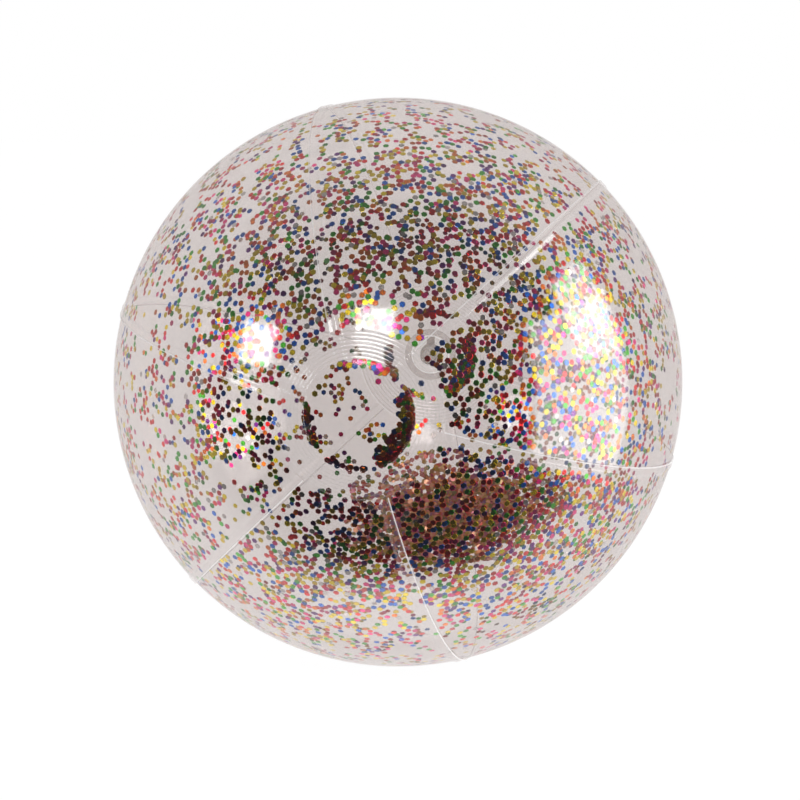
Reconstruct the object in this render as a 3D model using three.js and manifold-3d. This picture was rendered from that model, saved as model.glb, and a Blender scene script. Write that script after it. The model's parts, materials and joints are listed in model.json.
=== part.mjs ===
// A clear inflatable beach ball with loose foil sequins inside it.
//
// Six gore panels of clear film meet in lap seams, and a welded disc closes each end. A push-in valve sits
// in the back disc. Millimetres, +Z up. The origin is the middle of the small flat patch on which the ball
// rests on the floor, straight below the ball's centre. The end discs' axis runs along Y: the plain disc
// faces -Y and the disc with the valve faces +Y.

import * as THREE from 'three';
import { mergeVertices } from 'three/addons/utils/BufferGeometryUtils.js';
import Module from 'manifold-3d';

const wasm = await Module();
wasm.setup();

// ---- Driving dimensions ----

const BALL_RADIUS = 130; // 260 mm across when it is full of air
const FILM = 0.3; // thickness of the clear film
const GAP = 0.3; // clearance between pieces that touch
const REST_SAG = 1; // how far the ball's weight flattens it on the floor

const PANELS = 6;
const SEAM_PHASE = 103.6; // angle of one seam about the Y axis, from +X towards +Z, in degrees
const LAP = 4; // width of film that laps over the next panel at a seam
const PANEL_END_RADIUS = 23; // the panels stop at this distance from the Y axis
const DISC_RADIUS = 36; // an end disc reaches this far under the panels' ends

const SEGMENTS_AROUND = 36; // facets of the ball around the Y axis
const SEGMENTS_ALONG = 18; // and from one end to the other
const TURN_SEGMENTS = 24; // facets of the valve's turned pieces

const SEQUIN_PATCH = 39; // side of the square sheet that stands for the sequins of one colour
const DRIFT_LENGTH = 110; // the loose drift of sequins, measured level
const DRIFT_WIDTH = 56; // and measured up the wall
const DRIFT_FROM_AXIS = 39; // degrees from the +Y axis to the middle of the drift
const DRIFT_SIDEWAYS = 10; // degrees that the drift lies to the +X side of straight down
const DRIFT_CLEARANCE = 1.5; // from the film to the drift, which passes over the clinging sequins

const VALVE_HOLE = 10; // radius of the hole in the back disc
const FLANGE_RADIUS = 13;
const FLANGE_INNER = 9.6;
const FLANGE_THICKNESS = 0.8;
const BORE_RADIUS = 3.2;
const STEM_RADIUS = 4.4;
const STEM_LENGTH = 9.9;
const RIM_RADIUS = 5.4;
const RIM_THICKNESS = 1;
const RIM_PROUD = 1.6; // how far the rim of the pushed-in stem stands above the flange
const BOOT_WALL = 0.5;
const BOOT_DEPTH = 7.5; // half of the stem's travel
const CAP_THICKNESS = 1.2;
const PLUG_DEPTH = 4.5;
const PLUG_TOP_RADIUS = 2.9;
const PLUG_TIP_RADIUS = 1.7; // tapered, so that the plug swings clear of the bore
const STRAP_WIDTH = 4;
const STRAP_THICKNESS = 0.8;
const HINGE_OUT = 8.3; // from the valve's axis to the bend of the plug's strap
const FLAP_RADIUS = 4.2;
const FLAP_THICKNESS = 0.5;

// ---- Worked out from them ----

const FAR = 2 * BALL_RADIUS; // a length that always reaches past the ball
const CENTRE_HEIGHT = BALL_RADIUS - REST_SAG;
const PATCH_RADIUS = Math.sqrt(BALL_RADIUS ** 2 - CENTRE_HEIGHT ** 2);
const FILM_INSIDE = BALL_RADIUS - FILM;
const DISC_OUTSIDE = FILM_INSIDE - GAP;
const DISC_INSIDE = DISC_OUTSIDE - FILM;
const PITCH = 360 / PANELS;
const POLE_SLOPE = Math.tan(Math.PI / SEGMENTS_ALONG / 2) / Math.cos(Math.PI / SEGMENTS_AROUND);
const FLANGE_FACE = DISC_INSIDE - FLANGE_RADIUS * POLE_SLOPE - GAP; // under the disc's facets

// ---- Materials ----

const film = material(0xe4e0de, 0.12, 0, 0.3);
const softPvc = material(0xe9e7e4, 0.25, 0, 0.6);

const SEQUIN_COLOURS = {
  red: 0xb3201f,
  orange: 0xe2602a,
  gold: 0xd9b324,
  green: 0x2f8f35,
  blue: 0x2257a8,
  violet: 0x5a3a9c,
  magenta: 0xd0307c,
  silver: 0xb9bcc0,
};
const DRIFT_COLOUR = 0x6b3f2c;

function material(color, roughness, metalness, opacity = 1) {
  return new THREE.MeshStandardMaterial({ color, roughness, metalness, opacity, transparent: opacity < 1 });
}

function foil(color) {
  return material(color, 0.25, 0.8);
}

// ---- Solids ----

function solidOf(geometry) {
  const bare = geometry.index ? geometry.clone() : mergeVertices(geometry);
  bare.deleteAttribute('normal');
  bare.deleteAttribute('uv');
  const merged = mergeVertices(bare, 1e-4);
  return new wasm.Manifold(
    new wasm.Mesh({
      numProp: 3,
      vertProperties: new Float32Array(merged.attributes.position.array),
      triVerts: new Uint32Array(merged.index.array),
    }),
  );
}

function geometryOf(solid) {
  const mesh = solid.getMesh();
  const geometry = new THREE.BufferGeometry();
  geometry.setAttribute('position', new THREE.BufferAttribute(mesh.vertProperties, 3));
  geometry.setIndex(new THREE.BufferAttribute(mesh.triVerts, 1));
  geometry.computeVertexNormals();
  return geometry;
}

// A direction about the Y axis, from +X towards +Z.
function around(degrees) {
  const angle = THREE.MathUtils.degToRad(degrees);
  return new THREE.Vector2(Math.cos(angle), Math.sin(angle));
}

// A ball about the origin whose edges run along the seams.
function ballSolid(radius) {
  const sphere = new THREE.SphereGeometry(radius, SEGMENTS_AROUND, SEGMENTS_ALONG);
  sphere.rotateY(-THREE.MathUtils.degToRad(SEAM_PHASE));
  return solidOf(sphere);
}

// A round bar along the Y axis, from one end to the other.
function barSolid(radius, from, to) {
  const bar = new THREE.CylinderGeometry(radius, radius, to - from, SEGMENTS_AROUND);
  bar.rotateY(-THREE.MathUtils.degToRad(SEAM_PHASE));
  bar.translate(0, (from + to) / 2, 0);
  return solidOf(bar);
}

function boxSolid(width, depth, height, x = 0, y = 0, z = 0) {
  const box = new THREE.BoxGeometry(width, depth, height);
  box.translate(x, y, z);
  return solidOf(box);
}

// A prism along the Y axis over an outline given as (x, z) points.
function prismSolid(points, length) {
  const prism = new THREE.ExtrudeGeometry(new THREE.Shape(points), { depth: length, bevelEnabled: false });
  prism.translate(0, 0, -length / 2);
  prism.rotateX(Math.PI / 2);
  return solidOf(prism);
}

// The space between two planes through the Y axis, each moved in by half a gap.
function wedgeSolid(from, to, gap = GAP) {
  const middle = (from + to) / 2;
  const halfAngle = THREE.MathUtils.degToRad((to - from) / 2);
  const tip = around(middle).multiplyScalar(gap / 2 / Math.sin(halfAngle));
  const first = around(from).multiplyScalar(FAR).add(tip);
  const last = around(to).multiplyScalar(FAR).add(tip);
  return prismSolid([tip, first, last], 2 * FAR);
}

// A hoop along the seam at an angle, between two distances from the ball's centre and two from the seam.
function seamHoop(angle, inside, outside, from, to) {
  const arc = (radius) =>
    Array.from({ length: SEGMENTS_ALONG - 1 }, (_, index) => {
      const fromPole = (Math.PI * (index + 1)) / SEGMENTS_ALONG;
      return new THREE.Vector2(radius * Math.sin(fromPole), radius * Math.cos(fromPole));
    });
  const outline = new THREE.Shape([...arc(outside), ...arc(inside).reverse()]);
  const hoop = new THREE.ExtrudeGeometry(outline, { depth: to - from, bevelEnabled: false });
  hoop.translate(0, 0, from);
  const out = around(angle);
  const across = around(angle + 90);
  const turn = new THREE.Matrix4().makeBasis(
    new THREE.Vector3(out.x, 0, out.y),
    new THREE.Vector3(0, 1, 0),
    new THREE.Vector3(across.x, 0, across.y),
  );
  return solidOf(hoop.applyMatrix4(turn));
}

function shellSolid(outside, inside) {
  return ballSolid(outside).subtract(ballSolid(inside));
}

// ---- Film ----

// The whole film as a shell of the ball, pressed flat where it rests on the floor.
function restingFilm() {
  const aboveFloor = (level) => boxSolid(2 * FAR, 2 * FAR, FAR, 0, 0, level - CENTRE_HEIGHT + FAR / 2);
  const outside = ballSolid(BALL_RADIUS).intersect(aboveFloor(0));
  const inside = ballSolid(FILM_INSIDE).intersect(aboveFloor(FILM));
  const patch = new THREE.CylinderGeometry(PATCH_RADIUS, PATCH_RADIUS, FILM, TURN_SEGMENTS);
  patch.rotateX(Math.PI / 2);
  patch.translate(0, 0, FILM / 2 - CENTRE_HEIGHT);
  return outside.subtract(inside).add(solidOf(patch));
}

// One panel: its film, and a strip along one edge that steps out and laps over the next panel.
function panelSolid(index, wholeFilm, endCut) {
  const from = SEAM_PHASE + index * PITCH;
  const to = from + PITCH;
  const lapInside = BALL_RADIUS + GAP;
  const lapOutside = lapInside + FILM;
  const stepBack = -GAP / 2 - FILM;
  const step = seamHoop(to, FILM_INSIDE, lapOutside, stepBack, -GAP / 2);
  const lap = seamHoop(to, lapInside, lapOutside, stepBack, LAP);
  return wholeFilm.intersect(wedgeSolid(from, to)).add(step).add(lap).subtract(endCut);
}

// A welded disc under the ends of the panels; side is -1 at the front and +1 at the back.
function discSolid(side) {
  const ends = [side * (BALL_RADIUS / 2), side * FAR].sort((a, b) => a - b);
  return shellSolid(DISC_OUTSIDE, DISC_INSIDE).intersect(barSolid(DISC_RADIUS, ...ends));
}

// ---- Sequins ----

// A thin square sheet on the inside of the film that stands for the clinging sequins of one colour.
function clingingSheet(angle) {
  const halfWidth = THREE.MathUtils.radToDeg(SEQUIN_PATCH / 2 / DISC_OUTSIDE);
  const band = boxSolid(2 * FAR, SEQUIN_PATCH, 2 * FAR);
  const wedge = wedgeSolid(angle - halfWidth, angle + halfWidth, 0);
  return shellSolid(DISC_OUTSIDE, DISC_INSIDE).intersect(wedge).intersect(band);
}

// The drift of loose sequins low on the back wall: an oval cut out of a thin shell.
function driftSolid() {
  const outside = FILM_INSIDE - DRIFT_CLEARANCE;
  const oval = new THREE.CylinderGeometry(DRIFT_LENGTH / 2, DRIFT_LENGTH / 2, FAR, TURN_SEGMENTS);
  oval.scale(1, 1, DRIFT_WIDTH / DRIFT_LENGTH);
  oval.translate(0, FAR / 2, 0);
  oval.rotateX(-THREE.MathUtils.degToRad(DRIFT_FROM_AXIS));
  oval.rotateY(-THREE.MathUtils.degToRad(DRIFT_SIDEWAYS));
  return shellSolid(outside, outside - FILM).intersect(solidOf(oval));
}

// ---- Valve, about the Y axis, with y = 0 at the flange's outer face ----

const STEM_TOP = RIM_PROUD;
const STEM_BASE = STEM_TOP - STEM_LENGTH;
const CAP_BASE = STEM_TOP + GAP;

// A turned ring or disc from a profile of [radius, y] points, listed anticlockwise.
function turned(profile) {
  const points = profile.map(([radius, y]) => new THREE.Vector2(radius, y));
  return new THREE.LatheGeometry(points, TURN_SEGMENTS);
}

function ring(inner, outer, low, high) {
  return turned([[inner, low], [outer, low], [outer, high], [inner, high], [inner, low]]);
}

function flange() {
  return ring(FLANGE_INNER, FLANGE_RADIUS, -FLANGE_THICKNESS, 0);
}

// The thin cone that joins the stem to the flange and turns inside out as the stem is pulled.
function boot() {
  const wide = FLANGE_INNER - GAP;
  const narrow = STEM_RADIUS + GAP;
  const top = -FLANGE_THICKNESS / 2;
  return turned([
    [narrow, top - BOOT_DEPTH],
    [narrow + BOOT_WALL, top - BOOT_DEPTH],
    [wide, top],
    [wide - BOOT_WALL, top],
    [narrow, top - BOOT_DEPTH],
  ]);
}

// The tube, its rim, and the tab on the rim from which the strap starts.
function stem() {
  const tube = solidOf(ring(BORE_RADIUS, STEM_RADIUS, STEM_BASE, STEM_TOP));
  const rim = solidOf(ring(BORE_RADIUS, RIM_RADIUS, STEM_TOP - RIM_THICKNESS, STEM_TOP));
  const tabStart = (BORE_RADIUS + RIM_RADIUS) / 2;
  const tabLength = HINGE_OUT - tabStart;
  const tabY = STEM_TOP - STRAP_THICKNESS / 2;
  const tab = boxSolid(STRAP_WIDTH, STRAP_THICKNESS, tabLength, 0, tabY, tabStart + tabLength / 2);
  return geometryOf(tube.add(rim).add(tab));
}

function plug() {
  return turned([
    [0, STEM_TOP - PLUG_DEPTH],
    [PLUG_TIP_RADIUS, STEM_TOP - PLUG_DEPTH],
    [PLUG_TOP_RADIUS, CAP_BASE],
    [RIM_RADIUS, CAP_BASE],
    [RIM_RADIUS, CAP_BASE + CAP_THICKNESS],
    [0, CAP_BASE + CAP_THICKNESS],
  ]);
}

// The strap from its bend at the tab to the cap's edge, with its end hollowed to follow the cap.
function strap() {
  const start = RIM_RADIUS * Math.cos(Math.PI / TURN_SEGMENTS) - GAP;
  const length = HINGE_OUT - start;
  const y = CAP_BASE + STRAP_THICKNESS / 2;
  const strip = boxSolid(STRAP_WIDTH, STRAP_THICKNESS, length, 0, y, start + length / 2);
  return geometryOf(strip.subtract(barSolid(RIM_RADIUS + GAP, STEM_BASE, FAR)));
}

// The flap that air from inside presses shut over the stem's inner end.
function checkFlap() {
  const top = STEM_BASE - GAP;
  return turned([
    [0, top - FLAP_THICKNESS],
    [FLAP_RADIUS, top - FLAP_THICKNESS],
    [FLAP_RADIUS, top],
    [0, top],
  ]);
}

// ---- Assembly ----

const beachBall = new THREE.Group();
const ball = new THREE.Group(); // centred on the ball
ball.position.z = CENTRE_HEIGHT;
beachBall.add(ball);
const valve = new THREE.Group();
valve.position.y = FLANGE_FACE;
ball.add(valve);

function addMesh(group, name, geometry, meshMaterial) {
  const mesh = new THREE.Mesh(geometry, meshMaterial);
  mesh.name = name;
  group.add(mesh);
}

const wholeFilm = restingFilm();
const endCut = barSolid(PANEL_END_RADIUS, -FAR, FAR);
for (let index = 0; index < PANELS; index++) {
  addMesh(ball, `gore_panel_${index + 1}`, geometryOf(panelSolid(index, wholeFilm, endCut)), film);
}
addMesh(ball, 'front_end_disc', geometryOf(discSolid(-1)), film);
const valveHole = barSolid(VALVE_HOLE, 0, FAR);
addMesh(ball, 'back_end_disc', geometryOf(discSolid(1).subtract(valveHole)), film);

Object.entries(SEQUIN_COLOURS).forEach(([name, colour], index, all) => {
  const angle = (360 / all.length) * (index + 0.5);
  addMesh(ball, `clinging_sequins_${name}`, geometryOf(clingingSheet(angle)), foil(colour));
});
addMesh(ball, 'sequin_drift', geometryOf(driftSolid()), foil(DRIFT_COLOUR));

addMesh(valve, 'valve_flange', flange(), softPvc);
addMesh(valve, 'valve_boot', boot(), softPvc);
addMesh(valve, 'valve_stem', stem(), softPvc);
addMesh(valve, 'valve_plug', plug(), softPvc);
addMesh(valve, 'plug_strap', strap(), softPvc);
addMesh(valve, 'check_flap', checkFlap(), softPvc);

export default beachBall;
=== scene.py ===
"""Looks for a clear inflatable beach ball with loose foil sequins inside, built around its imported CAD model.

Metres, +Z up. The ball's end discs lie on the Y axis through its centre: the plain disc faces -Y, where the
camera stands, and the disc with the valve faces +Y.
"""

import json
import math
import random

import bmesh
import bpy
import numpy as np
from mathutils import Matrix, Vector


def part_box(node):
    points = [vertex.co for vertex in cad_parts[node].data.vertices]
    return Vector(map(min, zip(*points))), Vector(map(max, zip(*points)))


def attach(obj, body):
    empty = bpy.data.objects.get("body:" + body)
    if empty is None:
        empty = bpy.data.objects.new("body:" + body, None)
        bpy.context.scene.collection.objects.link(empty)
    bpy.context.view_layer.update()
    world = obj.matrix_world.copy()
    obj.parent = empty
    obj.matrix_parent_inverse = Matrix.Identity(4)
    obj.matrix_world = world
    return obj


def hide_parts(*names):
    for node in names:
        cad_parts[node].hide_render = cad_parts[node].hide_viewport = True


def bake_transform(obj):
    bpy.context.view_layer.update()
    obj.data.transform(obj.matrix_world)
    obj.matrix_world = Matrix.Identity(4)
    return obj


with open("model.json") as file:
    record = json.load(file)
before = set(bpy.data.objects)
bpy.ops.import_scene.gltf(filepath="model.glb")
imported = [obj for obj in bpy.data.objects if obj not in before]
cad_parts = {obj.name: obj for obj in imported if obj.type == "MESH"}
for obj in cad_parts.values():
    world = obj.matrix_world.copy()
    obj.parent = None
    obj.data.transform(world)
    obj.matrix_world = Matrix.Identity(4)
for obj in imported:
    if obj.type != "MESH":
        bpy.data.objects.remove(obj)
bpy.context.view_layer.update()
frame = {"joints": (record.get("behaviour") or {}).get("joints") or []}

MM = 0.001

# ---- Sizes ----

JOINTS = {joint["name"]: joint for joint in frame["joints"]}
CENTRE = np.array(JOINTS["drift_roll"]["pos_m"])
FILM = 0.3 * MM
GAP = 0.3 * MM
DISC_OUTSIDE = -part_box("front_end_disc")[0].y
DISC_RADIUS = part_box("front_end_disc")[1].x
BALL_RADIUS = DISC_OUTSIDE + GAP + FILM
FILM_INSIDE = BALL_RADIUS - FILM
DISC_INSIDE = DISC_OUTSIDE - FILM

PANELS = 6
PITCH = math.tau / PANELS
SEAM_PHASE = math.radians(103.6)  # turn of one seam about the Y axis, from +X towards +Z
LAP = 4 * MM  # film that laps over the next panel at a seam
PANEL_END_RADIUS = 23 * MM  # the panels stop at this distance from the Y axis
VALVE_HOLE = 10 * MM  # radius of the hole in the back disc
FLANGE_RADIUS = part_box("valve_flange")[1].x

RIDGES = 8  # fine weld ridges between the panels' ends and the disc's edge
RIDGE_HEIGHT = 0.16 * MM
RIDGE_SHARPNESS = 6  # a power: the higher it is, the narrower the ridges and the flatter the gaps
RIDGE_INSIDE = 0.6  # height of the ridges on the inner face, as a share of that on the outer face
WELD_MILK = 0.02  # how milky the weld is between its ridges, from 0 to 1
RIDGE_MILK_AND_HIGHLIGHT = 0.3  # and how much milkier on top of them: partly weld haze, partly a painted highlight along the ridges
PUCKER_HEIGHT = 0.07 * MM  # the film's puckers beside a seam
PUCKER_LENGTH = 7 * MM
PUCKER_REACH = 5 * MM
PUCKER_BEAT = 3.7  # a longer wave, in puckers, over which they come and go
PUCKER_STAGGER = 2.4  # how far a seam's puckers are out of step with the last seam's, in radians
CREASE_SOFTNESS = 0.3 * MM  # rounding of the crease about the flat patch on the floor

FLAKE_WIDTH = 2.4 * MM  # a sequin, across its flats
FLAKE_THICKNESS = 0.05 * MM
FLAKE_STEP = 0.13 * MM  # between the layers of a clump of sequins
FLAKE_INSET = 0.25 * MM  # from the film's inner face to the middle of a sequin that clings to it
FLOOR_INSET = 0.15 * MM  # the same on the flat patch
FLAKE_BEVEL = 0.92  # width of a sequin's outer face, as a share of its inner face
TOUCHING = 0.97 * FLAKE_WIDTH  # sequins closer than this lie one over another
CLUMP_TOUCHING = 0.7 * FLAKE_WIDTH  # and the same in a clump
CLUMP_LAYERS = 5
WALL_TILT = math.radians(1.4)  # how unevenly the sequins lie on the film
PILED_TILT = math.radians(2.5)  # and one over another
DRIFT_TILT = math.radians(22)  # and in the drift
DRIFT_SHAPE = 0.56  # the drift's width up the wall, as a share of its length
DRIFT_CLEARANCE = 1.7 * MM  # from the film to the loose drift, which passes over the clinging sequins
DRIFT_DEPTH = 2.5 * MM
WALL_FLAKES = 9800
DRIFT_FLAKES = 3600

# The sequins' foil colours, and each one's share of them.
FOILS = {
    "red": ((0.80, 0.02, 0.025), 0.16),
    "orange": ((0.98, 0.24, 0.02), 0.12),
    "gold": ((0.98, 0.70, 0.01), 0.22),
    "green": ((0.07, 0.46, 0.03), 0.13),
    "blue": ((0.015, 0.16, 0.66), 0.13),
    "violet": ((0.20, 0.02, 0.28), 0.06),
    "magenta": ((0.90, 0.04, 0.28), 0.13),
    "silver": ((0.72, 0.70, 0.69), 0.05),
}

DARKEST_SHADE = 0.6  # of a foil colour
LIGHTEST_SHADE = 1.2
HEAP_METALLIC = 0.5  # sequins in a heap light one another, so they mirror the studio less plainly

# Colours of the loose drift: foil of every colour, darkened and browned as painted shade for sequins that lie
# in their neighbours' shade.
DRIFT_TONES_WITH_PAINTED_SHADE = [
    (0.66, 0.13, 0.09),
    (0.80, 0.32, 0.15),
    (0.62, 0.40, 0.11),
    (0.34, 0.26, 0.12),
    (0.92, 0.48, 0.30),
    (0.38, 0.20, 0.34),
    (0.88, 0.32, 0.31),
    (0.52, 0.26, 0.14),
    (0.54, 0.18, 0.25),
    (0.82, 0.55, 0.27),
]

# ---- Camera ----

CAMERA_AZIMUTH = math.radians(7.4)  # to the +X side of straight in front
CAMERA_ELEVATION = math.radians(6.35)
CAMERA_DISTANCE = 1.2
BALL_SHARE = 0.7115  # the ball's width as a share of the picture's
SENSOR = 36  # millimetres
SHIFT_RIGHT = 0.0025  # lens shift, as a share of the picture's width
SHIFT_UP = -0.0224

CAMERA_BACK = Vector((
    math.sin(CAMERA_AZIMUTH) * math.cos(CAMERA_ELEVATION),
    -math.cos(CAMERA_AZIMUTH) * math.cos(CAMERA_ELEVATION),
    math.sin(CAMERA_ELEVATION),
))
CAMERA_RIGHT = Vector((0, 0, 1)).cross(CAMERA_BACK).normalized()
CAMERA_UP = CAMERA_BACK.cross(CAMERA_RIGHT)


def add_camera():
    data = bpy.data.cameras.new("camera")
    camera = bpy.data.objects.new("camera", data)
    bpy.context.scene.collection.objects.link(camera)
    camera.location = Vector(CENTRE) + CAMERA_DISTANCE * CAMERA_BACK
    camera.rotation_euler = CAMERA_BACK.to_track_quat("Z", "Y").to_euler()
    half_angle = math.asin(BALL_RADIUS / CAMERA_DISTANCE)
    data.sensor_width = SENSOR
    data.lens = SENSOR * BALL_SHARE / 2 / math.tan(half_angle)
    data.shift_x = SHIFT_RIGHT
    data.shift_y = SHIFT_UP
    bpy.context.scene.camera = camera


# ---- Mesh helpers ----

SAME_POINT = 0.001 * MM  # points closer than this are one


def add_piece(name, points, faces, weld=None, smooth_angle=math.radians(30)):
    """A mesh piece with its faces turned outwards, smooth where its faces meet at less than smooth_angle."""
    mesh = bpy.data.meshes.new(name)
    mesh.from_pydata([tuple(point) for point in points], [], faces)
    if weld is not None:
        mesh.attributes.new("weld", "FLOAT", "POINT").data.foreach_set("value", weld)
    shape = bmesh.new()
    shape.from_mesh(mesh)
    bmesh.ops.remove_doubles(shape, verts=shape.verts, dist=SAME_POINT)
    bmesh.ops.recalc_face_normals(shape, faces=shape.faces)
    shape.to_mesh(mesh)
    shape.free()
    mesh.polygons.foreach_set("use_smooth", [True] * len(mesh.polygons))
    mesh.set_sharp_from_angle(angle=smooth_angle)
    piece = bpy.data.objects.new(name, mesh)
    bpy.context.scene.collection.objects.link(piece)
    return piece


def closed_shell(name, outside, inside, weld, wrap=False):
    """A closed solid between two grids of points, each rows x columns x 3. wrap joins the last column to the
    first. weld says how whitish its outer face is at each of its points, from 0 to 1: partly weld haze, partly
    painted highlight."""
    rows, columns = outside.shape[:2]
    points = np.concatenate([outside.reshape(-1, 3), inside.reshape(-1, 3)])
    back = rows * columns
    faces = []
    for row in range(rows - 1):
        for column in range(columns if wrap else columns - 1):
            a = row * columns + column
            b = row * columns + (column + 1) % columns
            faces.append((a, b, b + columns, a + columns))
            faces.append((back + a, back + a + columns, back + b + columns, back + b))
    for row in (0, rows - 1):
        for column in range(columns if wrap else columns - 1):
            a = row * columns + column
            b = row * columns + (column + 1) % columns
            faces.append((a, b, back + b, back + a))
    if not wrap:
        for column in (0, columns - 1):
            for row in range(rows - 1):
                a = row * columns + column
                faces.append((a, a + columns, back + a + columns, back + a))
    # Whitening of the outer face, partly weld haze and partly painted highlight; none on the inner face.
    milk_and_highlight = np.concatenate([np.broadcast_to(weld, (rows, columns)).ravel(), np.zeros(rows * columns)])
    return add_piece(name, points, faces, milk_and_highlight)


def finish_piece(piece, body, slot, material, *nodes):
    """Gives a piece its material and its body, and hides the CAD nodes that it stands for. slot is not used.
    """
    piece.data.materials.append(material)
    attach(piece, body)
    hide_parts(*nodes)


def finish_blend(piece, first, second, start, end, slot, material, *nodes):
    """Gives a soft piece that crosses a joint its material, bakes its transform into its mesh and hides the
    CAD nodes that it stands for. first, second, start, end and slot are not used.
    """
    piece.data.materials.append(material)
    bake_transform(piece)
    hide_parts(*nodes)


# ---- Film ----


def on_ball(polar, turn, radius):
    """Points at angles polar from the -Y pole and turn about the Y axis, from +X towards +Z."""
    flat = radius * np.sin(polar)
    across = flat * np.cos(turn)
    along = -radius * np.cos(polar) * np.ones_like(turn)
    up = flat * np.sin(turn)
    return np.stack([across, along, up], -1) + CENTRE


def pressed(points, level):
    """Lifts the points below a level to it, as the floor presses the film flat."""
    depth = points[..., 2] - level
    points[..., 2] = level + (depth + np.hypot(depth, CREASE_SOFTNESS)) / 2
    return points


def weld_ridge(polar):
    """Height of the concentric weld ridges about each end of the ball."""
    from_axis = BALL_RADIUS * np.sin(polar)
    share = (from_axis - PANEL_END_RADIUS) / (DISC_RADIUS - PANEL_END_RADIUS)
    inside = (share > 0) & (share < 1)
    return np.where(inside, RIDGE_HEIGHT * np.abs(np.sin(math.pi * RIDGES * share)) ** RIDGE_SHARPNESS, 0)


def from_seam(polar, turn):
    """Distance over the film from the nearest seam, below 0 before it and above 0 after it."""
    angle = (turn - SEAM_PHASE + PITCH / 2) % PITCH - PITCH / 2
    return angle * BALL_RADIUS * np.sin(polar)


def pucker(polar, turn):
    """Height of the small puckers that pull the film in beside each seam."""
    seam = np.round((turn - SEAM_PHASE) / PITCH)
    reach = np.exp(-np.abs(from_seam(polar, turn)) / PUCKER_REACH)
    along = BALL_RADIUS * polar / PUCKER_LENGTH
    wave = np.sin(math.tau * along + PUCKER_STAGGER * seam) * np.sin(math.tau * along / PUCKER_BEAT + seam)
    return PUCKER_HEIGHT * reach * wave * np.sin(polar) ** 2


def film_rows():
    """Polar angles of the panels' rows, from the front disc's edge to the back disc's edge."""
    clear_of_disc = 0.1 * MM
    edge = math.asin((DISC_RADIUS + clear_of_disc) / BALL_RADIUS)
    step = math.radians(1.1)
    return np.linspace(edge, math.pi - edge, round((math.pi - 2 * edge) / step))


# Stations across a lap seam: distance past the seam, the height of the film's outer face, and how milky it
# is; the milk at the lap's edges is partly weld haze and partly a painted highlight. The lap is welded down,
# so that its two films are one band.
LAP_HEIGHT = GAP + FILM
BEAD = 0.12 * MM
LAP_STATIONS = [
    (-3.0 * MM, 0, 0),
    (-1.5 * MM, 0, 0),
    (-1.0 * MM, 0.05 * MM, 0),
    (-0.4 * MM, LAP_HEIGHT / 2, 0.12),
    (0.2 * MM, LAP_HEIGHT, 0.12),
    (1.0 * MM, LAP_HEIGHT, 0.03),
    (LAP - 1.0 * MM, LAP_HEIGHT, 0.03),
    # The bead at the lap's edge is whitened: partly weld haze, partly a painted highlight.
    (LAP - 0.6 * MM, LAP_HEIGHT + BEAD, 0.25),
    (LAP - 0.25 * MM, LAP_HEIGHT + BEAD, 1),
    (LAP, LAP_HEIGHT - 0.1 * MM, 0.8),
]


def film_panel(index):
    """One gore panel, from the edge of the last panel's lap to the edge of its own lap over the next."""
    columns = 44
    clear_of_lap = 0.03 * MM
    start = SEAM_PHASE + index * PITCH
    end = start + PITCH
    polar = film_rows()[:, None]
    around = BALL_RADIUS * np.sin(polar)
    shares = np.linspace(0, 1, columns, endpoint=False)[None, :]
    first = start + (LAP + clear_of_lap) / around
    last = end + LAP_STATIONS[0][0] / around
    stations = np.array(LAP_STATIONS)
    turn = np.concatenate([first + shares * (last - first), end + stations[None, :, 0] / around], 1)
    lap = np.concatenate([np.zeros(columns), stations[:, 1]])
    height = pucker(polar, turn)
    outside = pressed(on_ball(polar, turn, BALL_RADIUS + height + lap), 0)
    inside = pressed(on_ball(polar, turn, FILM_INSIDE + height), FILM)
    weld = np.concatenate([np.zeros(columns), stations[:, 2]])[None, :]
    return closed_shell(f"panel_film_{index + 1}", outside, inside, weld)


def lap_over_disc(polar, turn):
    """Height of the panels' laps where they run on over an end disc's weld."""
    before_seam = 1.1 * MM
    rise_width = 0.6 * MM
    fall_width = 0.4 * MM
    past = from_seam(polar, turn)
    rise = np.clip((past + before_seam) / rise_width, 0, 1)
    fall = np.clip((LAP - past) / fall_width, 0, 1)
    return LAP_HEIGHT / 2 * rise * fall


def film_disc(name, hole, at_back):
    """An end disc and the ridged band where the panels' ends are welded to it."""
    turns = 420
    window_rows = 12
    weld_rows = 90
    edge_width = 0.35 * MM
    window = np.linspace(hole, PANEL_END_RADIUS - edge_width, window_rows, endpoint=False)
    weld = np.linspace(PANEL_END_RADIUS - edge_width, DISC_RADIUS, weld_rows)
    from_axis = np.concatenate([window, weld])[:, None]
    polar = np.arcsin(from_axis / BALL_RADIUS)
    if at_back:
        polar = math.pi - polar
    turn = np.linspace(0, math.tau, turns, endpoint=False)[None, :]
    on_weld = np.clip((from_axis - PANEL_END_RADIUS + edge_width) / edge_width, 0, 1)
    ridge = weld_ridge(polar)
    height = on_weld * (GAP + FILM + lap_over_disc(polar, turn)) + ridge
    outside = on_ball(polar, turn, DISC_OUTSIDE + height)
    inside = on_ball(polar, turn, DISC_INSIDE + ridge * RIDGE_INSIDE)
    # Milk on the ridges is partly weld haze and partly a painted highlight that lightens them.
    milk_and_highlight = WELD_MILK * on_weld + RIDGE_MILK_AND_HIGHLIGHT * (ridge / RIDGE_HEIGHT) ** 2 + np.zeros_like(turn)
    return closed_shell(name, outside, inside, milk_and_highlight, wrap=True)


# ---- Sequins ----


def uniform_direction(rng):
    height = rng.uniform(-1, 1)
    turn = rng.uniform(0, math.tau)
    flat = math.sqrt(1 - height * height)
    return Vector((flat * math.cos(turn), flat * math.sin(turn), height))


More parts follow.
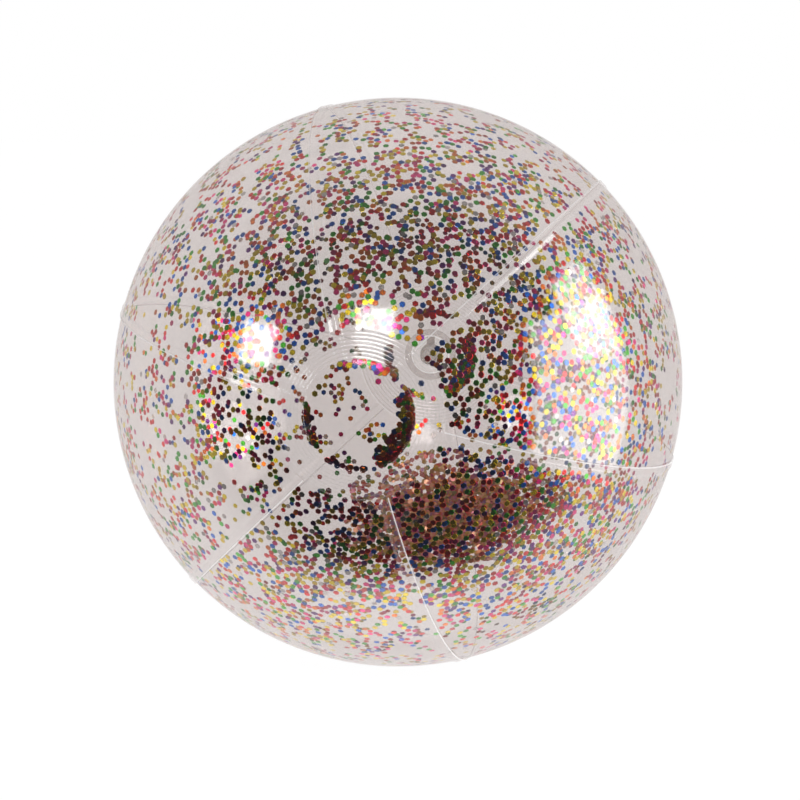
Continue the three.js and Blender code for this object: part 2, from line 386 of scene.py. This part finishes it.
def seen_at(across, up, far=False):
    """The direction from the ball's centre to the wall's point that the camera sees there, in radii."""
    depth = math.sqrt(max(0, 1 - across * across - up * up))
    return (across * CAMERA_RIGHT + up * CAMERA_UP + (-depth if far else depth) * CAMERA_BACK).normalized()


USUAL_COVER = 0.5
LEAST_COVER = 0.1
WAIST_THINNING = 0.55  # how much thinner the cover is half-way between the end discs
WAIST_SPREAD = 0.42  # how far that reaches towards them, in ball radii

# Where sequins cling more or less thickly than usual: direction, spread in radians, and strength.
THICK_AND_THIN = [
    (seen_at(0.0, 0.1), 0.50, 1.1),
    (seen_at(0.10, 0.52), 0.22, 1.3),
    (seen_at(-0.12, 0.26), 0.12, 1.0),
    (seen_at(0.36, 0.42), 0.16, 1.2),
    (seen_at(-0.40, 0.28), 0.18, 1.4),
    (seen_at(-0.45, -0.05), 0.16, 0.9),
    (seen_at(0.60, 0.05), 0.20, 1.2),
    (seen_at(-0.30, -0.68), 0.22, 1.8),
    (seen_at(-0.10, -0.56), 0.11, 3.2),
    (seen_at(0.16, -0.60), 0.13, 3.4),
    (seen_at(0.42, -0.56), 0.13, 3.0),
    (seen_at(0.66, -0.44), 0.14, 1.8),
    (seen_at(-0.72, 0.05), 0.16, -0.5),
    (seen_at(-0.52, -0.42), 0.14, -0.7),
    (seen_at(0.62, -0.30, far=True), 0.26, 1.2),
    (seen_at(0.66, 0.20, far=True), 0.28, 0.7),
]


def thickness_of_cover(direction):
    """How thickly sequins cling in a direction."""
    cover = USUAL_COVER
    for middle, spread, strength in THICK_AND_THIN:
        angle = direction.angle(middle)
        cover += strength * math.exp(-((angle / spread) ** 2) / 2)
    waist = math.exp(-((direction.y / WAIST_SPREAD) ** 2))
    return max(LEAST_COVER, cover * (1 - WAIST_THINNING * waist))


# The chance that a sequin stays where it lands.
WINDOW_CHANCE = 0.16  # in an end disc's clear window
INNER_WELD_CHANCE = 0.05  # on the inner part of the weld around it
OUTER_WELD_CHANCE = 0.12  # and on the rest of that weld
INNER_WELD = PANEL_END_RADIUS + 0.4 * (DISC_RADIUS - PANEL_END_RADIUS)  # where the inner part ends
SEAM_CHANCE = 0.12  # on a seam
SEAM_REACH = 0.4 * LAP  # the distance beside a seam over which the chance rises to 1


def seam_clearance(direction):
    """The chance that a sequin stays where it lands: 0 on the valve, low on a weld, 1 well away from both."""
    polar = math.acos(max(-1, min(1, -direction.y)))
    turn = math.atan2(direction.z, direction.x)
    from_axis = BALL_RADIUS * math.sin(polar)
    if direction.y > 0 and from_axis < FLANGE_RADIUS + FLAKE_WIDTH:
        return 0
    if from_axis < PANEL_END_RADIUS - FLAKE_WIDTH / 2:
        return WINDOW_CHANCE
    if from_axis < DISC_RADIUS:
        return INNER_WELD_CHANCE if from_axis < INNER_WELD else OUTER_WELD_CHANCE
    from_lap = abs(float(from_seam(polar, turn)) - LAP / 2)
    return min(1, SEAM_CHANCE + max(0, (from_lap - LAP / 2) / SEAM_REACH))


def wall_radius(direction):
    """Distance from the ball's centre to a sequin that clings to the film in a direction."""
    from_axis = BALL_RADIUS * math.hypot(direction.x, direction.z)
    inside = DISC_INSIDE if from_axis < DISC_RADIUS + FLAKE_WIDTH else FILM_INSIDE
    return inside - FLAKE_INSET


class Flakes:
    """Sequins that have been placed, found again by the cell that they lie in."""

    def __init__(self, rng):
        self.rng = rng
        self.cells = {}
        self.placed = []

    def cell(self, point):
        return tuple(int(math.floor(value / FLAKE_WIDTH)) for value in point)

    def layers_near(self, point, reach):
        """The layers taken by sequins closer than reach."""
        x, y, z = self.cell(point)
        found = set()
        for dx in (-1, 0, 1):
            for dy in (-1, 0, 1):
                for dz in (-1, 0, 1):
                    for other, layer in self.cells.get((x + dx, y + dy, z + dz), ()):
                        if (other - point).length < reach:
                            found.add(layer)
        return found

    def place(self, direction, layers, reach=TOUCHING):
        """Puts a sequin on the lowest free layer, and says whether there was one."""
        point = direction * BALL_RADIUS
        taken = self.layers_near(point, reach)
        layer = next((n for n in range(layers) if n not in taken), None)
        if layer is None:
            return False
        self.cells.setdefault(self.cell(point), []).append((point, layer))
        self.placed.append((direction.copy(), layer))
        return True


def beside(direction, heading, distance):
    """The direction a distance away over the ball's wall."""
    return (direction * BALL_RADIUS + heading * distance).normalized()


def random_heading(rng, direction):
    side = direction.orthogonal().normalized()
    turn = rng.uniform(0, math.tau)
    return side * math.cos(turn) + direction.cross(side) * math.sin(turn)


def cling(flakes, count):
    """Scatters sequins over the wall in short chains and small clumps."""
    rng = flakes.rng
    thickest = 4
    chain_decay = 0.55
    single_share = 0.75
    wander = 1.2
    closest = 0.98
    farthest = 1.25
    while len(flakes.placed) < count:
        direction = uniform_direction(rng)
        chance = thickness_of_cover(direction) * seam_clearance(direction) / thickest
        if rng.random() > chance:
            continue
        heading = random_heading(rng, direction)
        for _ in range(1 + int(rng.expovariate(chain_decay))):
            if rng.random() < seam_clearance(direction):
                flakes.place(direction, 1 if rng.random() < single_share else 2)
            heading = (heading + wander * random_heading(rng, direction)).normalized()
            direction = beside(direction, heading, FLAKE_WIDTH * rng.uniform(closest, farthest))


# Arcs of the groove inside a weld where sequins have gathered: start and end turn in degrees, how many, and
# how far in from the groove they spread.
GROOVE_CLUMPS = [
    (-66, 26, 210, 2.6 * MM),
    (-50, -10, 60, 3.6 * MM),
    (168, 216, 55, 1.4 * MM),
    (58, 112, 40, 1.2 * MM),
    (228, 280, 14, 1.2 * MM),
]


def gather_in_groove(flakes, at_back):
    """Clumps of sequins in the groove about an end disc's clear window."""
    rng = flakes.rng
    for start, end, count, spread in GROOVE_CLUMPS:
        for _ in range(count):
            turn = math.radians(rng.uniform(start, end))
            from_axis = PANEL_END_RADIUS - abs(rng.gauss(0, spread))
            polar = math.asin(from_axis / BALL_RADIUS)
            along = -math.cos(polar) * (-1 if at_back else 1)
            direction = Vector((math.sin(polar) * math.cos(turn), along, math.sin(polar) * math.sin(turn)))
            flakes.place(direction, CLUMP_LAYERS, reach=CLUMP_TOUCHING)


def flake_template():
    """Corner points and faces of one hexagonal sequin about its middle, its outer face a little smaller."""
    corner = FLAKE_WIDTH / math.sqrt(3)
    points = []
    for radius, height in ((FLAKE_BEVEL * corner, FLAKE_THICKNESS / 2), (corner, -FLAKE_THICKNESS / 2)):
        for side in range(6):
            turn = math.tau * side / 6
            points.append((radius * math.cos(turn), radius * math.sin(turn), height))
    faces = [tuple(range(6)), tuple(range(11, 5, -1))]
    for side in range(6):
        following = (side + 1) % 6
        faces.append((side, 6 + side, 6 + following, following))
    return points, faces


def flake_mesh(name, places):
    """One mesh of sequins. Each place is a centre, a normal, a spin and a shade."""
    corners, corner_faces = flake_template()
    points = []
    faces = []
    shades = []
    for centre, normal, spin, shade in places:
        first = len(points)
        across = normal.orthogonal().normalized()
        beyond = normal.cross(across)
        right = across * math.cos(spin) + beyond * math.sin(spin)
        up = normal.cross(right)
        for x, y, z in corners:
            points.append(centre + right * x + up * y + normal * z)
        for face in corner_faces:
            faces.append(tuple(first + index for index in face))
            shades.append(shade)
    mesh = bpy.data.meshes.new(name)
    mesh.from_pydata(points, [], faces)
    mesh.attributes.new("shade", "FLOAT", "FACE").data.foreach_set("value", shades)
    piece = bpy.data.objects.new(name, mesh)
    bpy.context.scene.collection.objects.link(piece)
    return piece


def tilted(rng, normal, spread):
    """A normal tipped at random by an angle of about spread."""
    return (normal + random_heading(rng, normal) * math.tan(rng.gauss(0, spread))).normalized()


def clinging_places(flakes):
    """Centre, normal, spin and shade of every sequin on the wall."""
    rng = flakes.rng
    lowest = FILM + FLOOR_INSET
    places = []
    for direction, layer in flakes.placed:
        inset = wall_radius(direction) - layer * FLAKE_STEP
        centre = Vector(CENTRE) + direction * inset
        normal = direction
        if centre.z < lowest + layer * FLAKE_STEP:
            centre.z = lowest + layer * FLAKE_STEP
            normal = Vector((0, 0, -1))
        spread = WALL_TILT if layer == 0 else PILED_TILT
        places.append((centre, tilted(rng, normal, spread), rng.uniform(0, math.tau), rng.random()))
    return places


def drift_places(rng):
    """The same for the loose drift: a ragged oval heap that thins out towards its edge."""
    low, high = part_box("sequin_drift")
    middle = ((low + high) / 2 - Vector(CENTRE)).normalized()
    level = middle.cross(Vector((0, 1, 0))).normalized()
    uphill = middle.cross(level)
    half_length = (high.x - low.x) / 2
    half_width = DRIFT_SHAPE * half_length
    outermost = FILM_INSIDE - DRIFT_CLEARANCE
    usual_reach = 0.55
    gathering = 0.8
    farthest = 1.12
    lobes = 0.10
    ripples = 0.08
    places = []
    while len(places) < DRIFT_FLAKES:
        turn = rng.uniform(0, math.tau)
        reach = min(farthest, abs(rng.gauss(0, usual_reach)) ** gathering)
        ragged = 1 + lobes * math.sin(3 * turn + 1) + ripples * math.sin(7 * turn)
        x = half_length * reach * ragged * math.cos(turn)
        y = half_width * reach * ragged * math.sin(turn)
        direction = (middle * BALL_RADIUS + level * x + uphill * y).normalized()
        depth = DRIFT_DEPTH * max(0, 1 - reach) * rng.random()
        centre = Vector(CENTRE) + direction * (outermost - depth)
        normal = tilted(rng, direction, DRIFT_TILT)
        places.append((centre, normal, rng.uniform(0, math.tau), rng.random()))
    return places


def by_colour(rng, places):
    """Shares places out among the foil colours at random."""
    names = list(FOILS)
    weights = [FOILS[name][1] for name in names]
    sorted_places = {name: [] for name in names}
    for place in places:
        sorted_places[rng.choices(names, weights)[0]].append(place)
    return sorted_places


# ---- Valve, about the Y axis through the ball's centre ----

STEM_RADIUS = 4.4 * MM
BORE_RADIUS = 3.2 * MM
RIM_THICKNESS = 1 * MM
FLANGE_INNER = 9.6 * MM
BOOT_WALL = 0.5 * MM
CAP_THICKNESS = 1.2 * MM
PLUG_TOP_RADIUS = 2.9 * MM
PLUG_TIP_RADIUS = 1.7 * MM
STRAP_WIDTH = 4 * MM
STRAP_THICKNESS = 0.8 * MM
STRAP_BLEND = 0.19 * MM  # distance before and after the strap's hinge of the points given as the ends of its bend
VALVE_TURNS = 96


def rounded(profile, radius=0.2 * MM, steps=4):
    """A closed profile of (radius, y) points with its corners rounded, apart from those on the axis."""
    smooth = []
    spacing = 2.1  # keeps the roundings at the two ends of a short edge apart
    for index, point in enumerate(profile):
        corner = Vector(point)
        before = Vector(profile[index - 1])
        after = Vector(profile[(index + 1) % len(profile)])
        if corner.x == 0:
            smooth.append(corner)
            continue
        cut = min(radius, (before - corner).length / spacing, (after - corner).length / spacing)
        start = corner + (before - corner).normalized() * cut
        end = corner + (after - corner).normalized() * cut
        for step in range(steps + 1):
            share = step / steps
            smooth.append(start.lerp(corner, share).lerp(corner.lerp(end, share), share))
    return smooth


def turned(name, profile):
    """A closed solid turned about the valve's axis from a closed profile of (radius, y) points."""
    count = len(profile)
    points = []
    faces = []
    for turn in range(VALVE_TURNS):
        angle = math.tau * turn / VALVE_TURNS
        following = (turn + 1) % VALVE_TURNS
        for radius, y in profile:
            points.append((radius * math.cos(angle), y, CENTRE[2] + radius * math.sin(angle)))
        for index in range(count):
            beside_it = (index + 1) % count
            corners = (turn * count + index, turn * count + beside_it)
            faces.append((*corners, following * count + beside_it, following * count + index))
    return add_piece(name, points, faces)


def valve_flange():
    """The ring that is welded inside the back disc, around the hole in it."""
    low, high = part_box("valve_flange")
    edge = FLANGE_RADIUS
    clear_of_film = 0.04 * MM
    taper = 1.8 * MM
    lip = 1.2 * MM

    def under_film(radius):
        return math.sqrt(DISC_INSIDE**2 - radius**2) - clear_of_film

    return turned("flange_ring", rounded([
        (FLANGE_INNER, low.y),
        (edge - taper, low.y),
        (edge, high.y),
        (edge, under_film(edge)),
        (edge - lip, under_film(edge - lip)),
        (FLANGE_INNER, under_film(FLANGE_INNER)),
    ]))


def valve_boot():
    """The soft ribbed cone that joins the stem to the flange. The real one turns inside out as the stem is
    pulled; here it keeps its shape.
    """
    low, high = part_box("valve_boot")
    ribs = 3
    rib_height = 0.22 * MM
    clear_of_stem = 0.05 * MM
    narrow = STEM_RADIUS + clear_of_stem + BOOT_WALL / 2
    wide = high.x - BOOT_WALL / 2
    steps = 48
    middle = []
    for step in range(steps + 1):
        share = step / steps
        rib = rib_height * math.sin(math.tau * ribs * share) * math.sin(math.pi * share)
        radius = narrow + (wide - narrow) * share + rib
        middle.append((radius, low.y + (high.y - low.y) * share))
    outer = [(radius + BOOT_WALL / 2, y) for radius, y in middle]
    inner = [(radius - BOOT_WALL / 2, y) for radius, y in middle]
    return turned("boot_cone", outer + inner[::-1])


def valve_stem():
    """The tube that is blown through, with a rolled rim."""
    low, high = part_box("valve_stem")
    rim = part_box("valve_plug")[1].x
    mouth_width = 0.3 * MM
    mouth_depth = 0.5 * MM
    return turned("stem_tube", rounded([
        (BORE_RADIUS, low.y),
        (STEM_RADIUS, low.y),
        (STEM_RADIUS, high.y - RIM_THICKNESS),
        (rim, high.y - RIM_THICKNESS),
        (rim, high.y),
        (BORE_RADIUS + mouth_width, high.y),
        (BORE_RADIUS, high.y - mouth_depth),
    ]))


def valve_plug():
    """The tapered plug with a sealing bead, and its cap with a shallow dish for the thumb."""
    low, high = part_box("valve_plug")
    cap_base = high.y - CAP_THICKNESS
    bead = cap_base - 1.4 * MM
    bead_half_length = 0.5 * MM
    bead_height = 0.1 * MM
    taper = 0.3 * MM
    rim = high.x
    dish = high.y - 0.25 * MM
    dish_from_edge = 1.1 * MM
    dish_slope = 1.8 * MM
    return turned("plug_cap", rounded([
        (0, low.y),
        (PLUG_TIP_RADIUS, low.y),
        (PLUG_TOP_RADIUS - taper, bead - bead_half_length),
        (PLUG_TOP_RADIUS + bead_height, bead),
        (PLUG_TOP_RADIUS - bead_height, bead + bead_half_length),
        (PLUG_TOP_RADIUS, cap_base),
        (rim, cap_base),
        (rim, high.y),
        (rim - dish_from_edge, high.y),
        (rim - dish_slope, dish),
        (0, dish),
    ]))


def check_flap():
    """The soft disc that air from inside presses shut over the stem's inner end."""
    low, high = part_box("check_flap")
    edge = high.x
    bevel_width = 0.8 * MM
    bevel_height = 0.15 * MM
    return turned("flap_disc", rounded([
        (0, low.y),
        (edge - bevel_width, low.y),
        (edge, low.y + bevel_height),
        (edge, high.y),
        (0, high.y),
    ], radius=0.12 * MM))


def plug_strap():
    """The strap from the stem's rim to the cap's edge, bent back on itself at a thinner living hinge."""
    hinge = Vector(JOINTS["plug_swing"]["pos_m"])
    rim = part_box("valve_plug")[1].x
    bend = hinge.y - (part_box("valve_stem")[1].y - STRAP_THICKNESS / 2)
    into_rim = 0.5 * MM
    straight_steps = 8
    straight = np.linspace(CENTRE[2] + rim - into_rim, hinge.z, straight_steps)[:-1]
    line = [(hinge.y - bend, z, 0, 1) for z in straight]
    bend_steps = 16
    thinning = 0.4
    for step in range(bend_steps + 1):
        angle = math.pi * step / bend_steps
        thin = 1 - thinning * math.sin(angle)
        y = hinge.y - bend * math.cos(angle)
        line.append((y, hinge.z + bend * math.sin(angle), angle, thin))
    line += [(hinge.y + bend, z, math.pi, 1) for z in straight[::-1]]
    width_points = 7
    fullness = 0.45  # half of its thickness, less a little clearance
    across = np.linspace(-STRAP_WIDTH / 2, STRAP_WIDTH / 2, width_points)
    outside = []
    inside = []
    for y, z, angle, thin in line:
        half = fullness * STRAP_THICKNESS * thin
        out_y = -math.cos(angle) * half
        out_z = math.sin(angle) * half
        outside.append([(x, y + out_y, z + out_z) for x in across])
        inside.append([(x, y - out_y, z - out_z) for x in across])
    return closed_shell("strap_band", np.array(outside), np.array(inside), 0)


# ---- Materials ----

HEAD_ON_SHINE = 0.055  # share of light that plastic mirrors head on
EDGE_ON_SHINE = 0.3  # and where it is seen edge on
EDGE_SHARPNESS = 6.0  # the higher it is, the nearer to edge on the film has to be seen to mirror more
WELD_HAZE_AND_HIGHLIGHT = 0.5  # how milky the film is along a weld's edge and on its ridges: partly weld haze, partly a painted highlight
# The haze's colour, which along the welds also paints their highlights.
MILK_AND_HIGHLIGHT_COLOUR = (0.86, 0.84, 0.84)


def new_material(name):
    material = bpy.data.materials.new(name)
    material.use_nodes = True
    material.node_tree.nodes.clear()
    return material, material.node_tree


def add_node(tree, kind, sockets=(), **properties):
    """A node, with the values of its input sockets by name, and its properties."""
    node = tree.nodes.new(kind)
    for name, value in properties.items():
        setattr(node, name, value)
    for name, value in dict(sockets).items():
        node.inputs[name].default_value = value
    return node


def clear_film(name, tint, haze, roughness):
    """Clear soft PVC: see-through but for a faint whitish haze, which is thicker along its welds, where it is
    partly a painted highlight, and a gloss that is stronger where the film is seen edge on."""
    material, tree = new_material(name)
    link = tree.links.new
    through = add_node(tree, "ShaderNodeBsdfTransparent", {"Color": (*tint, 1)})
    # Whitish haze, thicker along welds where it is partly a painted highlight.
    milk_and_highlight_shader = add_node(tree, "ShaderNodeBsdfDiffuse", {"Color": (*MILK_AND_HIGHLIGHT_COLOUR, 1)})
    welds = add_node(tree, "ShaderNodeAttribute", attribute_name="weld")
    haze_and_highlight_amount = add_node(tree, "ShaderNodeMapRange", {"To Min": haze, "To Max": WELD_HAZE_AND_HIGHLIGHT})
    film = add_node(tree, "ShaderNodeMixShader")
    gloss = add_node(tree, "ShaderNodeBsdfGlossy", {"Color": (1, 1, 1, 1), "Roughness": roughness})
    place = add_node(tree, "ShaderNodeTexCoord")
    waves = add_node(tree, "ShaderNodeTexNoise", {"Scale": 55, "Detail": 3, "Roughness": 0.6})
    uneven = add_node(tree, "ShaderNodeBump", {"Strength": 1, "Distance": 0.12 * MM})
    facing = add_node(tree, "ShaderNodeLayerWeight")
    edge = add_node(tree, "ShaderNodeMath", {1: EDGE_SHARPNESS}, operation="POWER")
    shine = add_node(tree, "ShaderNodeMapRange", {"To Min": HEAD_ON_SHINE, "To Max": EDGE_ON_SHINE})
    mix = add_node(tree, "ShaderNodeMixShader")
    output = add_node(tree, "ShaderNodeOutputMaterial")
    link(welds.outputs["Fac"], haze_and_highlight_amount.inputs["Value"])
    link(haze_and_highlight_amount.outputs[0], film.inputs[0])
    link(through.outputs[0], film.inputs[1])
    link(milk_and_highlight_shader.outputs[0], film.inputs[2])
    link(place.outputs["Object"], waves.inputs["Vector"])
    link(waves.outputs["Fac"], uneven.inputs["Height"])
    link(uneven.outputs["Normal"], gloss.inputs["Normal"])
    link(facing.outputs["Facing"], edge.inputs[0])
    link(edge.outputs[0], shine.inputs["Value"])
    link(shine.outputs[0], mix.inputs[0])
    link(film.outputs[0], mix.inputs[1])
    link(gloss.outputs[0], mix.inputs[2])
    link(mix.outputs[0], output.inputs["Surface"])
    return material


def foil(name, tones, steps=False, metallic=1):
    """Metallised plastic foil, very slightly uneven. Each sequin takes its own shade from the tones, which
    run into each other unless they are in steps."""
    material, tree = new_material(name)
    link = tree.links.new
    finish = {"Metallic": metallic, "Roughness": 0.24, "Coat Weight": 0.25, "Coat Roughness": 0.1}
    surface = add_node(tree, "ShaderNodeBsdfPrincipled", finish)
    shade = add_node(tree, "ShaderNodeAttribute", attribute_name="shade")
    ramp = add_node(tree, "ShaderNodeValToRGB")
    ramp.color_ramp.interpolation = "CONSTANT" if steps else "LINEAR"
    stops = ramp.color_ramp.elements
    for index, tone in enumerate(tones):
        share = index / (len(tones) if steps else len(tones) - 1)
        stop = stops[index] if index < 2 else stops.new(share)
        stop.position = share
        stop.color = (*tone, 1)
    grain = add_node(tree, "ShaderNodeTexNoise", {"Scale": 1200, "Detail": 2})
    place = add_node(tree, "ShaderNodeTexCoord")
    bump = add_node(tree, "ShaderNodeBump", {"Strength": 0.15, "Distance": 0.03 * MM})
    output = add_node(tree, "ShaderNodeOutputMaterial")
    link(shade.outputs["Fac"], ramp.inputs["Fac"])
    link(ramp.outputs["Color"], surface.inputs["Base Color"])
    link(place.outputs["Object"], grain.inputs["Vector"])
    link(grain.outputs["Fac"], bump.inputs["Height"])
    link(bump.outputs["Normal"], surface.inputs["Normal"])
    link(surface.outputs[0], output.inputs["Surface"])
    return material


def dark_and_light(colour):
    """The darkest and the lightest shade of a foil colour."""
    return [DARKEST_SHADE * part for part in colour], [min(1, LIGHTEST_SHADE * part) for part in colour]


def floor_material():
    """A plain pale floor that glows evenly, nearly white."""
    material, tree = new_material("pale_floor")
    surface = add_node(tree, "ShaderNodeBsdfPrincipled", {
        "Base Color": (0.05, 0.05, 0.05, 1),
        "Roughness": 1,
        "Specular IOR Level": 0,
        "Emission Color": (1, 1, 1, 1),
        "Emission Strength": 0.98,
    })
    output = add_node(tree, "ShaderNodeOutputMaterial")
    tree.links.new(surface.outputs[0], output.inputs["Surface"])
    return material


# ---- Studio ----

# Brightness, where 1 is white, and the heights at which it applies, in sines of the elevation.
LOW_DARK = 0.035  # the unlit end of the studio, low down
LOW_DARK_HEIGHT = -0.1
HIGH_DARK = 0.26  # and high up
HIGH_DARK_HEIGHT = 0.8
LOW_WALLS = 1.65  # its lit walls, low down
LOW_WALLS_HEIGHT = -0.7
HIGH_WALLS = 0.85  # and high up
HIGH_WALLS_HEIGHT = 0.3
TABLE_GLOW = 2.1  # what lies under the ball

# Where they lie: the unlit end is around the camera, and the glow is a round patch under the ball.
DARK_DROP = 0.08  # slope by which the middle of the unlit end lies lower than the camera
LIT_FROM = math.radians(100)  # the walls are fully lit beyond this angle from there
UNLIT_TO = math.radians(69)  # and unlit within this one
GLOW_LEAN = 0.32  # slope by which the middle of the glow lies to the far side of straight down
GLOW_EDGE = math.radians(26)  # the glow starts at this angle from there
GLOW_CORE = math.radians(17)  # and is full within this one

FLOOR_GAP = 0.05 * MM  # keeps the floor's face clear of the film's
CLEAR_LAYERS = 32  # clear surfaces that light may pass through, one behind another


def add_floor():
    size = 12
    mesh = bpy.data.meshes.new("floor")
    corners = [(-size, -size, 0), (size, -size, 0), (size, size, 0), (-size, size, 0)]
    mesh.from_pydata(corners, [], [(0, 1, 2, 3)])
    floor = bpy.data.objects.new("floor", mesh)
    floor.location.z = -FLOOR_GAP
    bpy.context.scene.collection.objects.link(floor)
    mesh.materials.append(floor_material())
    # The floor glows, so light from the studio passes it by: shiny pieces mirror the studio instead.
    floor.visible_glossy = False
    floor.visible_shadow = False


# Each softbox: its direction from the ball (across, up and back as the camera sees it), its distance, its
# width and height in metres, and its brightness.
SOFTBOXES = {
    "window_light": ((0.90, 0.34, 0.12), 1.6, (0.60, 0.74), 3.6),
    "side_light": ((0.97, -0.04, 0.22), 1.9, (1.6, 1.8), 3.0),
    "front_light": ((-0.15, 0.29, 0.93), 1.5, (0.36, 0.54), 8),
    "left_light": ((-0.80, 0.22, 0.55), 1.5, (0.36, 0.36), 6),
}


def add_softbox(name, towards, distance, size, brightness):
    """A softbox that faces the ball."""
    across, up, back = towards
    width, height = size
    direction = (across * CAMERA_RIGHT + up * CAMERA_UP + back * CAMERA_BACK).normalized()
    data = bpy.data.lights.new(name, "AREA")
    data.shape = "RECTANGLE"
    data.size = width
    data.size_y = height
    data.energy = brightness * math.pi * width * height
    lamp = bpy.data.objects.new(name, data)
    bpy.context.scene.collection.objects.link(lamp)
    lamp.location = Vector(CENTRE) + direction * distance
    lamp.rotation_euler = direction.to_track_quat("Z", "Y").to_euler()
    lamp.visible_camera = False


def add_world():
    """A white studio, unlit at the end where the camera stands, with a white background to look at."""
    world = bpy.data.worlds.new("studio")
    bpy.context.scene.world = world
    world.use_nodes = True
    tree = world.node_tree
    tree.nodes.clear()
    link = tree.links.new
    place = add_node(tree, "ShaderNodeTexCoord")
    height = add_node(tree, "ShaderNodeSeparateXYZ")
    walls = add_node(tree, "ShaderNodeMapRange", {
        "From Min": LOW_WALLS_HEIGHT,
        "From Max": HIGH_WALLS_HEIGHT,
        "To Min": LOW_WALLS,
        "To Max": HIGH_WALLS,
    })
    unlit = add_node(tree, "ShaderNodeMapRange", {
        "From Min": LOW_DARK_HEIGHT,
        "From Max": HIGH_DARK_HEIGHT,
        "To Min": LOW_DARK,
        "To Max": HIGH_DARK,
    })
    facing = add_node(tree, "ShaderNodeVectorMath", operation="DOT_PRODUCT")
    facing.inputs[1].default_value = (CAMERA_BACK - DARK_DROP * CAMERA_UP).normalized()
    limits = {"From Min": math.cos(LIT_FROM), "From Max": math.cos(UNLIT_TO)}
    ramp = add_node(tree, "ShaderNodeMapRange", limits, interpolation_type="SMOOTHSTEP")
    beneath = add_node(tree, "ShaderNodeVectorMath", operation="DOT_PRODUCT")
    beneath.inputs[1].default_value = (-CAMERA_UP - GLOW_LEAN * CAMERA_BACK).normalized()
    edges = {
        "From Min": math.cos(GLOW_EDGE),
        "From Max": math.cos(GLOW_CORE),
        "To Min": 0,
        "To Max": TABLE_GLOW,
    }
    table = add_node(tree, "ShaderNodeMapRange", edges, interpolation_type="SMOOTHSTEP")
    brighter = add_node(tree, "ShaderNodeMath", operation="MAXIMUM")
    lighting = add_node(tree, "ShaderNodeBackground")
    backdrop = add_node(tree, "ShaderNodeBackground", {"Color": (1, 1, 1, 1)})
    path = add_node(tree, "ShaderNodeLightPath")
    mix = add_node(tree, "ShaderNodeMixShader")
    output = add_node(tree, "ShaderNodeOutputWorld")
    link(place.outputs["Generated"], height.inputs[0])
    link(height.outputs["Z"], walls.inputs["Value"])
    link(walls.outputs[0], ramp.inputs["To Min"])
    link(height.outputs["Z"], unlit.inputs["Value"])
    link(unlit.outputs[0], ramp.inputs["To Max"])
    link(place.outputs["Generated"], facing.inputs[0])
    link(facing.outputs["Value"], ramp.inputs["Value"])
    link(place.outputs["Generated"], beneath.inputs[0])
    link(beneath.outputs["Value"], table.inputs["Value"])
    link(ramp.outputs[0], brighter.inputs[0])
    link(table.outputs[0], brighter.inputs[1])
    link(brighter.outputs[0], lighting.inputs["Strength"])
    link(path.outputs["Is Camera Ray"], mix.inputs[0])
    link(lighting.outputs[0], mix.inputs[1])
    link(backdrop.outputs[0], mix.inputs[2])
    link(mix.outputs[0], output.inputs["Surface"])


def add_studio():
    add_world()
    add_floor()
    for name, softbox in SOFTBOXES.items():
        add_softbox(name, *softbox)
    bpy.context.scene.view_settings.view_transform = "Standard"
    bpy.context.scene.cycles.transparent_max_bounces = CLEAR_LAYERS


# ---- Assembly ----

add_camera()
add_studio()

FILM_TINT = (0.899, 0.877, 0.871)  # what one thickness of film lets through
FILM_LOOK = {"tint": FILM_TINT, "haze": 0.004, "roughness": 0.1}
panel_material = clear_film("panel_film", **FILM_LOOK)
disc_material = clear_film("disc_film", **FILM_LOOK)
for panel in range(PANELS):
    finish_piece(film_panel(panel), "root", "panel_film", panel_material, f"gore_panel_{panel + 1}")
front_disc = film_disc("front_disc_film", hole=0, at_back=False)
finish_piece(front_disc, "root", "disc_film", disc_material, "front_end_disc")
back_disc = film_disc("back_disc_film", hole=VALVE_HOLE, at_back=True)
finish_piece(back_disc, "root", "disc_film", disc_material, "back_end_disc")

pvc = clear_film("valve_pvc", tint=(0.93, 0.92, 0.91), haze=0.1, roughness=0.22)
plug_pvc = clear_film("plug_pvc", tint=(0.91, 0.90, 0.89), haze=0.28, roughness=0.22)
finish_piece(valve_flange(), "root", "valve_pvc", pvc, "valve_flange")
finish_piece(valve_stem(), "valve_stem", "valve_pvc", pvc, "valve_stem")
finish_piece(check_flap(), "check_flap", "valve_pvc", pvc, "check_flap")
finish_piece(valve_plug(), "valve_plug", "plug_pvc", plug_pvc, "valve_plug")
boot_inner, boot_outer = [(0, corner.y, CENTRE[2]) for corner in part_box("valve_boot")]
finish_blend(valve_boot(), "root", "valve_stem", boot_outer, boot_inner, "valve_pvc", pvc, "valve_boot")
hinge_at = Vector(JOINTS["plug_swing"]["pos_m"])
bend_start = hinge_at - Vector((0, STRAP_BLEND, 0))
bend_end = hinge_at + Vector((0, STRAP_BLEND, 0))
strap = plug_strap()
finish_blend(strap, "valve_stem", "valve_plug", bend_start, bend_end, "plug_pvc", plug_pvc, "plug_strap")

SEED = 16
draws = random.Random(SEED)
wall = Flakes(draws)
gather_in_groove(wall, at_back=False)
gather_in_groove(wall, at_back=True)
cling(wall, WALL_FLAKES)
wall_places = by_colour(draws, clinging_places(wall))
for colour_name, (colour, _) in FOILS.items():
    foil_material = foil(f"foil_{colour_name}", dark_and_light(colour))
    clinging = flake_mesh(f"wall_sequins_{colour_name}", wall_places[colour_name])
    finish_piece(clinging, "root", f"foil_{colour_name}", foil_material, f"clinging_sequins_{colour_name}")
heap = flake_mesh("drift_sequins", drift_places(draws))
# The drift's tones hold painted shade: the heap's foil darkened and browned.
mixed_foil = foil("foil_mixed", DRIFT_TONES_WITH_PAINTED_SHADE, steps=True, metallic=HEAP_METALLIC)
finish_piece(heap, "sequin_drift", "foil_mixed", mixed_foil, "sequin_drift")
